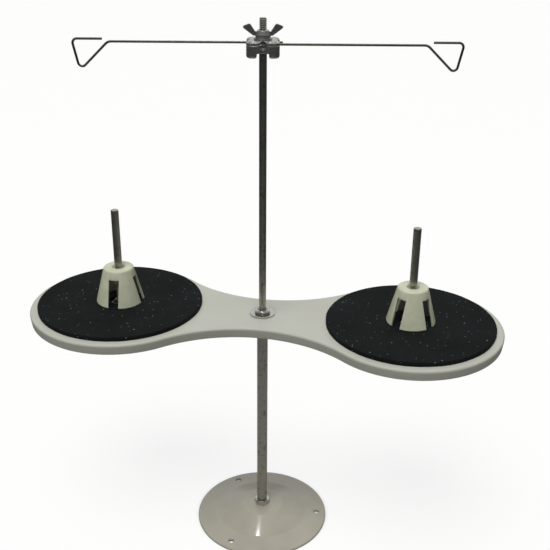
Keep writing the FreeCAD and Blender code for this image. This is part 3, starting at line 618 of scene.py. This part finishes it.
def make_round_cut_tree():
    """Cuts a tool's shape away Count times, evenly round the Z axis from the angle Turn."""
    tree, given = new_tree("cut_evenly_round_axis", ("Tool", "Object"), ("Count", "Int"), ("Turn", "Float"),
                           ("Finish", "Material"))
    spots = add(tree, "GeometryNodePoints", links={"Count": given["Count"]})
    number = add(tree, "GeometryNodeInputIndex")
    share = add(tree, "ShaderNodeMath", links={0: number.outputs[0], 1: given["Count"]}, operation="DIVIDE")
    angle = add(tree, "ShaderNodeMath", {1: math.tau}, {0: share.outputs[0], 2: given["Turn"]},
                operation="MULTIPLY_ADD")
    spin = add(tree, "ShaderNodeCombineXYZ", links={2: angle.outputs[0]})
    tool = add(tree, "GeometryNodeObjectInfo", links={"Object": given["Tool"]})
    copies = add(tree, "GeometryNodeInstanceOnPoints", links={
        "Points": spots.outputs[0], "Instance": tool.outputs["Geometry"], "Rotation": spin.outputs[0]})
    tools = add(tree, "GeometryNodeRealizeInstances", links={0: copies.outputs[0]})
    cut = add(tree, "GeometryNodeMeshBoolean", operation="DIFFERENCE", solver="EXACT")
    tree.links.new(given["Geometry"], cut.inputs["Mesh 1"])
    tree.links.new(tools.outputs[0], cut.inputs["Mesh 2"])
    end_tree(tree, cut.outputs["Mesh"], given["Finish"])
    return tree


def make_wire_tree():
    """Sweeps a round wire of the given Radius along a bent route, with closed ends."""
    tree, given = new_tree("sweep_round_wire", ("Radius", "Float"), ("Sides", "Int"), ("Finish", "Material"))
    section = add(tree, "GeometryNodeCurvePrimitiveCircle", links={
        "Resolution": given["Sides"], "Radius": given["Radius"]})
    tube = add(tree, "GeometryNodeCurveToMesh", {"Fill Caps": True}, {
        "Curve": given["Geometry"], "Profile Curve": section.outputs[0]})
    end_tree(tree, tube.outputs[0], given["Finish"])
    return tree


thread_tree = make_thread_tree()
round_cut_tree = make_round_cut_tree()
wire_tree = make_wire_tree()

# Screw threads as (pitch, depth). The stud is M6 like the pins' feet, but its thread is drawn 1.6 times as
# coarse so that it shows.
M8_THREAD, M6_THREAD, STUD_THREAD = (1.25, 0.68), (1.0, 0.54), (1.6, 0.62)
# hexagon nuts as (width across flats, bore radius)
M8_NUT, M6_NUT = (13.0, 4.05), (10.0, 3.05)


def climb(radius, low, high, pitch):
    """Closely spaced points up a straight side, close enough for a thread to be cut in it."""
    steps = max(1, math.ceil((high - low) / (pitch / 10)))
    return [(radius, low + (high - low) * k / steps) for k in range(steps + 1)]


def threaded(made, low, high, thread, core):
    pitch, depth = thread
    return run_tree(made, thread_tree, Low=low * MM, High=high * MM, Pitch=pitch * MM, Depth=depth * MM,
                    Core=core * MM, Finish=nickel)


# ---------------------------------------------------------------- base
BASE_HOLE_CIRCLE, BASE_HOLE_TURN, BASE_HOLES = 52.0, math.radians(6.3), 3
SCREW_RADIUS, SCREW_HEAD = 2.25, 5.0
HUB_TOP, HUB_UNDER, BASE_NUT_TOP, BASE_NUT_FOOT = 13.0, 11.5, 17.6, 5.0
LOWER_ROD, UPPER_ROD, M8_RADIUS, TAPPED = 4.65, 3.0, 4.0, 2.55
ROD_SHOULDER, LOWER_ROD_TOP, STAND_TOP = 207.75, 218.55, 460.4


def make_base():
    """A pressed disc with a raised hub, a rolled rim and countersunk screw holes."""
    outline = rounded([
        (4.2, HUB_TOP, 0.2), (19.5, HUB_TOP, 5.0), (41.0, 4.6, 12.0), (60.5, 2.0, 1.2), (60.5, 0.0, 0.3),
        (59.0, 0.0, 0.3), (59.0, 0.7, 0.4), (40.7, 3.1, 10.0), (19.0, HUB_UNDER, 3.5),
        (4.2, HUB_UNDER, 0.2),
    ], step=4.0)
    plate = turned("base_plate_enamelled", outline, segments=288)
    tool = turned("screw_hole_tool", [
        (0, -2), (SCREW_RADIUS, -2), (SCREW_RADIUS, 2.4), (SCREW_HEAD, 5.15), (SCREW_HEAD, 9.0), (0, 9.0),
    ], segments=64)
    moved(tool, x=BASE_HOLE_CIRCLE)
    plate = run_tree(plate, round_cut_tree, Tool=tool, Count=BASE_HOLES, Turn=BASE_HOLE_TURN,
                     Finish=enamel)
    bpy.data.objects.remove(tool)
    plate = shade(bevelled(plate, 0.12, angle=38.0), 40.0)
    add_piece(plate, enamel, "stand", "base_plate")


def make_washer(node, body, bore, radius, low, high, x=0.0, edge=0.22):
    outline = rounded([
        (bore, low, 0.1), (radius, low, edge), (radius, high, edge), (bore, high, 0.15)], step=20.0)
    ring = turned(f"{node}_plated", outline)
    add_piece(moved(ring, x=x), zinc, body, node)


def make_nut(node, body, size, low, high, x=0.0, turn=0.0):
    """A hexagon nut whose corners are cut back by the turned chamfer, which leaves curved edges."""
    flats, bore = size
    land, slope = flats * 0.47, math.tan(math.radians(30))
    limit = flats / 2 / math.cos(math.radians(30)) - 0.12
    lean = {low: 1, high: -1}

    def hexagon(radius, height, angle):
        if radius < flats / 2:
            return radius, height
        across = (angle + math.pi / 6) % (math.pi / 3) - math.pi / 6
        out = min(flats / 2 / math.cos(across), limit)
        return out, height + lean[height] * (out - land) * slope

    outline = [(bore, low + 0.4), (bore + 0.4, low), (land, low), (flats / 2, low), (flats / 2, high),
               (land, high), (bore + 0.4, high), (bore, high - 0.4)]
    nut = turned(f"{node}_plated", outline, segments=120, swell=hexagon)
    nut = shade(bevelled(nut, 0.1, angle=24.0), 30.0)
    add_piece(moved(nut, x=x, turn=turn), zinc, body, node)


def make_rods():
    """The lower rod has M8 threads at both ends. The upper rod ends in an M6 thread for the wing nut."""
    pitch = M8_THREAD[0]
    lower = turned("lower_rod_plated", [
        (0, 3.0), (3.3, 3.0), *climb(M8_RADIUS, 3.7, BASE_NUT_TOP, pitch), (4.35, BASE_NUT_TOP),
        (LOWER_ROD, 17.9), *[(LOWER_ROD, 17.9 + 1.9 * k) for k in range(1, 100)],
        (LOWER_ROD, 207.45), (4.35, ROD_SHOULDER), *climb(M8_RADIUS, ROD_SHOULDER, 218.25, pitch),
        (3.7, LOWER_ROD_TOP), (TAPPED, LOWER_ROD_TOP), (TAPPED, 202.55), (0, 202.55),
    ], segments=72)
    lower = threaded(lower, 3.4, 17.4, M8_THREAD, 3.2)
    lower = threaded(lower, 208.0, 218.6, M8_THREAD, 3.2)
    add_piece(shade(lower, 45.0), nickel, "stand", "lower_rod")
    upper = turned("upper_rod_plated", [
        (0, 203.55), (2.5, 203.55), (2.5, LOWER_ROD_TOP), (2.8, LOWER_ROD_TOP), (UPPER_ROD, 218.8),
        *[(UPPER_ROD, 218.8 + 2.0 * k) for k in range(1, 110)],
        *climb(UPPER_ROD, 439.6, 459.8, STUD_THREAD[0]), (2.4, STAND_TOP), (0, STAND_TOP),
    ], segments=64)
    upper = threaded(upper, 440.0, 460.6, STUD_THREAD, 2.3)
    add_piece(shade(upper, 45.0), nickel, "stand", "upper_rod")


make_base()
make_nut("base_upper_nut", "stand", M8_NUT, HUB_TOP, BASE_NUT_TOP, turn=math.radians(22))
make_washer("base_lower_washer", "stand", 4.2, 9.0, 10.0, HUB_UNDER)
make_nut("base_lower_nut", "stand", M8_NUT, BASE_NUT_FOOT, 10.0)
make_rods()
make_washer("tray_seat_washer", "stand", 4.1, 10.0, ROD_SHOULDER, 208.95)
make_washer("tray_upper_washer", "stand", 4.1, 11.0, 213.05, 214.55, edge=0.5)
make_nut("tray_nut", "stand", M8_NUT, 214.55, 217.75, turn=math.radians(12))


# ---------------------------------------------------------------- tray, pads and spool places
# how far out the spool pins stand, the radius of the tray's round ends, and half its width at the rod
SPOOL_X, END_RADIUS, WAIST = 126.0, 78.0, 29.5
TRAY_TOP, TRAY_FOOT, TRAY_UNDER = 213.0, 204.0, 210.5
BOSS_RADIUS, BOSS_FOOT, PIN_BORE, ROD_BORE = 11.0, 209.0, 3.05, 4.08
# the radius of the hollow curve that joins the round ends
SWEEP = (SPOOL_X ** 2 + WAIST ** 2 - END_RADIUS ** 2) / (2 * (END_RADIUS - WAIST))


def dumbbell(inset, height):
    """The tray's outline moved inwards: two round ends joined by two hollow curves."""
    centre_y = WAIST + SWEEP
    join = math.atan2(centre_y, -SPOOL_X)
    arcs = (
        (SPOOL_X, 0, END_RADIUS - inset, -join, join, 128),
        (0, centre_y, SWEEP + inset, join - math.pi, -join, 72),
        (-SPOOL_X, 0, END_RADIUS - inset, math.pi - join, math.pi + join, 128),
        (0, -centre_y, SWEEP + inset, join, math.pi - join, 72),
    )
    points = []
    for x, y, radius, first, last, steps in arcs:
        for k in range(steps):
            angle = first + (last - first) * k / steps
            points.append((x + radius * math.cos(angle), y + radius * math.sin(angle), height))
    return points


def make_tray():
    """One moulding: a flat top with a rolled edge, a drafted skirt, and three bosses underneath."""
    section = rounded([
        (4.5, TRAY_TOP, 0), (0.0, TRAY_TOP, 2.4), (1.1, TRAY_FOOT, 0.5), (3.3, TRAY_FOOT, 0.4),
        (3.3, TRAY_UNDER, 1.0), (7.0, TRAY_UNDER, 0)], step=10.0)
    tray = capped("tray_moulded", [dumbbell(inset, height) for inset, height in section])
    spots = (-SPOOL_X, 0.0, SPOOL_X)
    for x in spots:
        boss = turned("boss", rounded([
            (0, BOSS_FOOT, 0), (BOSS_RADIUS, BOSS_FOOT, 0.5), (BOSS_RADIUS, 211.5, 0), (0, 211.5, 0)]))
        tray = combined(tray, moved(boss, x=x), "UNION")
    for x, bore in zip(spots, (PIN_BORE, ROD_BORE, PIN_BORE)):
        drill = turned("drill", [(0, 200), (bore, 200), (bore, 220), (0, 220)])
        tray = combined(tray, moved(drill, x=x), "DIFFERENCE")
    add_piece(shade(tray, 36.0), tray_abs, "tray_set", "tray")


PAD_RADIUS, PAD_HOLE, PAD_LOW, PAD_HIGH = 71.4, 9.0, TRAY_TOP, 216.8


def make_pad(side, x, seed):
    """A die-cut foam ring. Its top is a little uneven and its cut edges are soft."""
    across = [(PAD_HOLE, PAD_LOW, 0.3), (PAD_RADIUS, PAD_LOW, 0.3), (PAD_RADIUS, PAD_HIGH, 0.9),
              (PAD_HOLE, PAD_HIGH, 0.7)]
    outline = []
    for point in rounded(across, step=15.0):
        if outline and (point - outline[-1]).length > 3.0:
            gaps = math.ceil((point - outline[-1]).length / 1.6)
            start = outline[-1].copy()
            outline += [start.lerp(point, k / gaps) for k in range(1, gaps)]
        outline.append(point)
    pad = turned(f"{side}_pad_foam", outline, segments=256)
    for vertex in pad.data.vertices:
        place = vertex.co / MM
        if place.z > PAD_LOW + 0.5:
            wave = noise.noise(place * 0.045 + Vector((seed, 0, 0)))
            grain = noise.noise(place * 0.9 + Vector((0, seed, 0)))
            vertex.co.z -= (0.09 + 0.06 * wave + 0.035 * grain) * MM
        reach = math.hypot(place.x, place.y)
        if reach > PAD_RADIUS - 1.2:
            ripple = noise.noise(Vector((place.x * 0.06, place.y * 0.06, seed)))
            nick = noise.noise(Vector((place.x * 0.5, place.y * 0.5, place.z * 0.5 + seed)))
            pull = 1 - (0.22 + 0.22 * ripple + 0.08 * nick) / reach
            vertex.co.x *= pull
            vertex.co.y *= pull
    moved(pad, x=x)
    add_piece(shade(pad, 60.0), foam, "tray_set", f"{side}_pad")


PIN_RADIUS, PIN_FOOT, PIN_TOP = 3.25, 203.2, 300.0


def make_pin(side, x):
    """A plain pin with a chamfered top and a thinner foot with an M6 thread."""
    pin = turned(f"{side}_spool_pin_plated", [
        (0, PIN_FOOT), (2.5, PIN_FOOT), *climb(3.0, 203.7, 248.7, M6_THREAD[0]), (3.05, 249.0),
        (PIN_RADIUS, 249.2), *[(PIN_RADIUS, 249.2 + 1.8 * k) for k in range(1, 28)], (PIN_RADIUS, 299.6),
        (2.85, PIN_TOP), (0, PIN_TOP),
    ], segments=56)
    pin = threaded(pin, 203.4, 248.6, M6_THREAD, 2.3)
    add_piece(moved(shade(pin, 45.0), x=x), nickel, "tray_set", f"{side}_spool_pin")


CONE_FOOT, CONE_RISE, ROOF_DEPTH = 216.85, 31.6, 4.0
FOOT_OUTER, FOOT_INNER, CONE_TOP = 20.8, 18.9, 12.6
SLEEVE_BORE, SLEEVE_STEP, SLEEVE_LENGTH = 3.36, 20.0, 12.0
CONE_SLOTS, SLOT_WIDTH, SLOT_TOP = 4, 9.0, 24.2


def make_cone(side, x, turn):
    """A hollow slotted cone with a dished mouth and a sleeve that runs on the pin."""
    slope = (FOOT_OUTER - CONE_TOP) / CONE_RISE
    roof = CONE_RISE - ROOF_DEPTH
    sleeve_foot = roof - SLEEVE_LENGTH
    outline = rounded([
        (FOOT_INNER, 0, 0.5), (FOOT_OUTER, 0, 0.7), (CONE_TOP, CONE_RISE, 2.0), (5.6, CONE_RISE, 0.9),
        (SLEEVE_BORE, roof, 0.2), (SLEEVE_BORE, sleeve_foot, 0.3), (6.0, sleeve_foot, 0.4),
        (6.0, SLEEVE_STEP, 0.4), (9.0, SLEEVE_STEP, 0.5), (9.0, roof, 0.6),
        (FOOT_INNER - slope * roof, roof, 1.0),
    ], step=10.0)
    cone = turned(f"{side}_cone_holder_moulded", outline, segments=160)
    half = SLOT_WIDTH / 2
    corners = [(-half, -2), (half, -2), (half, SLOT_TOP), (-half, SLOT_TOP)]
    tool = capped("slot_tool", [[(x, y, z) for y, z in corners] for x in (10.0, 24.0)])
    cone = run_tree(cone, round_cut_tree, Tool=tool, Count=CONE_SLOTS, Turn=0.0, Finish=ivory)
    bpy.data.objects.remove(tool)
    cone = shade(bevelled(cone, 0.3, segments=3, angle=42.0), 34.0)
    moved(cone, x=x, z=CONE_FOOT, turn=turn)
    add_piece(cone, ivory, f"{side}_cone", f"{side}_cone_holder")


make_tray()
for side, x, turn, seed in (("left", -SPOOL_X, -1.0, 3.7), ("right", SPOOL_X, -38.0, 11.3)):
    make_pad(side, x, seed)
    make_pin(side, x)
    for level, washer_foot, nut_foot in (("upper", TRAY_TOP, 214.0), ("lower", 208.0, 204.0)):
        make_washer(f"{side}_pin_{level}_washer", "tray_set", PIN_BORE, 6.5, washer_foot, washer_foot + 1, x)
        make_nut(f"{side}_pin_{level}_nut", "tray_set", M6_NUT, nut_foot, nut_foot + 4, x)
    make_cone(side, x, math.radians(turn))


# ---------------------------------------------------------------- clamp, wing nut and thread guides
HEAD_TURN = math.radians(8.74)
CLAMP_TOP, WASHER_TOP = 444.6, 445.8


def make_cast_piece(name, node, body, grain, rounds, swell):
    """A casting: the part's own shape with every edge softened and a slightly uneven skin."""
    made = bpy.data.objects.new(name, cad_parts[node].data.copy())
    scene.collection.objects.link(made)
    bm = bmesh.new()
    bm.from_mesh(made.data)
    bmesh.ops.remove_doubles(bm, verts=bm.verts, dist=0.001 * MM)
    bm.to_mesh(made.data)
    bm.free()
    remesh = made.modifiers.new("fine_skin", "REMESH")
    remesh.mode, remesh.voxel_size, remesh.adaptivity = "VOXEL", grain * MM, 0.0
    smooth = made.modifiers.new("softened_edges", "SMOOTH")
    smooth.factor, smooth.iterations = 0.5, rounds
    made = baked(made)
    low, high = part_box(node)
    normals = [vertex.normal.copy() for vertex in made.data.vertices]
    places = []
    for vertex, normal in zip(made.data.vertices, normals):
        ripple = noise.noise(vertex.co / (1.7 * MM))
        place = vertex.co + normal * (swell * ripple * MM)
        places += [min(max(place[axis], low[axis]), high[axis]) for axis in range(3)]
    made.data.vertices.foreach_set("co", places)
    made.data.update()
    add_piece(shade(made, 70.0), casting, body, node)


def make_lock_washer():
    """A spring washer: a square-section ring with one slanted split whose ends stand a little apart."""
    section = rounded([(3.2, 0, 0.1), (5.8, 0, 0.15), (5.8, 0.86, 0.15), (3.2, 0.86, 0.1)], step=30.0)
    split = math.radians(6.5)
    steps = 110
    loops = []
    for k in range(steps + 1):
        angle = HEAD_TURN + math.radians(130) + split + (math.tau - 2 * split) * k / steps
        lift = WASHER_TOP + 0.14 * k / steps
        loops.append([(r * math.cos(angle), r * math.sin(angle), lift + z) for r, z in section])
    ring = capped("clamp_lock_washer_plated", loops)
    add_piece(ring, zinc, "cap", "clamp_lock_washer")


WIRE_HEIGHT, WIRE_SIDE, WIRE_RADIUS, GUIDE_SLIDE = 441.5, 4.25, 0.95, 3.1


def make_guide(side, turn, slide):
    """One wire: a long straight arm, and an open three-cornered eye that hangs from its end."""
    corners = [(-12.0, 0, 0), (121.0, 0, 6.0), (143.6, -22.0, 3.2), (148.6, 2.0, 3.4), (125.4, 2.0, 0)]
    route = rounded(corners, step=6.0)
    spread = []
    for start, end in zip(route, route[1:]):
        gaps = max(1, math.ceil((end - start).length / 8))
        spread += [start.lerp(end, k / gaps) for k in range(gaps)]
    spread.append(route[-1])
    first, last = (spread[1] - spread[0]).normalized(), (spread[-2] - spread[-1]).normalized()
    ends = (0.0, 0.55), (0.12, 0.85), (0.35, 1.0)
    points = [(spread[0] + first * away, size) for away, size in ends]
    points += [(point, 1.0) for point in spread[1:-1]]
    points += [(spread[-1] + last * away, size) for away, size in reversed(ends)]
    data = bpy.data.curves.new(f"{side}_thread_guide_wire", "CURVE")
    data.dimensions = "3D"
    line = data.splines.new("POLY")
    line.points.add(len(points) - 1)
    place = Matrix.Rotation(turn, 4, "Z")
    for spot, (point, size) in zip(line.points, points):
        where = place @ Vector((point.x, 0, point.y))
        centre = Vector((slide, -WIRE_SIDE, 0))
        centre.rotate(place.to_euler())
        spot.co = (*((where + centre + Vector((0, 0, WIRE_HEIGHT))) * MM), 1.0)
        spot.radius = size
    guide = bpy.data.objects.new(data.name, data)
    scene.collection.objects.link(guide)
    guide = run_tree(guide, wire_tree, Radius=WIRE_RADIUS * MM, Sides=20, Finish=spring_wire)
    add_piece(shade(guide, 50.0), spring_wire, f"{side}_guide", f"{side}_thread_guide")


make_cast_piece("clamp_body_cast", "clamp_body", "head", 0.22, 2, 0.05)
make_cast_piece("clamp_cap_cast", "clamp_cap", "cap", 0.18, 2, 0.04)
make_cast_piece("wing_nut_cast", "wing_nut", "wing", 0.15, 3, 0.04)
make_washer("clamp_washer", "cap", 3.2, 7.15, CLAMP_TOP, WASHER_TOP, edge=0.3)
make_lock_washer()
make_guide("left", HEAD_TURN + math.pi, -GUIDE_SLIDE)
make_guide("right", HEAD_TURN, GUIDE_SLIDE)
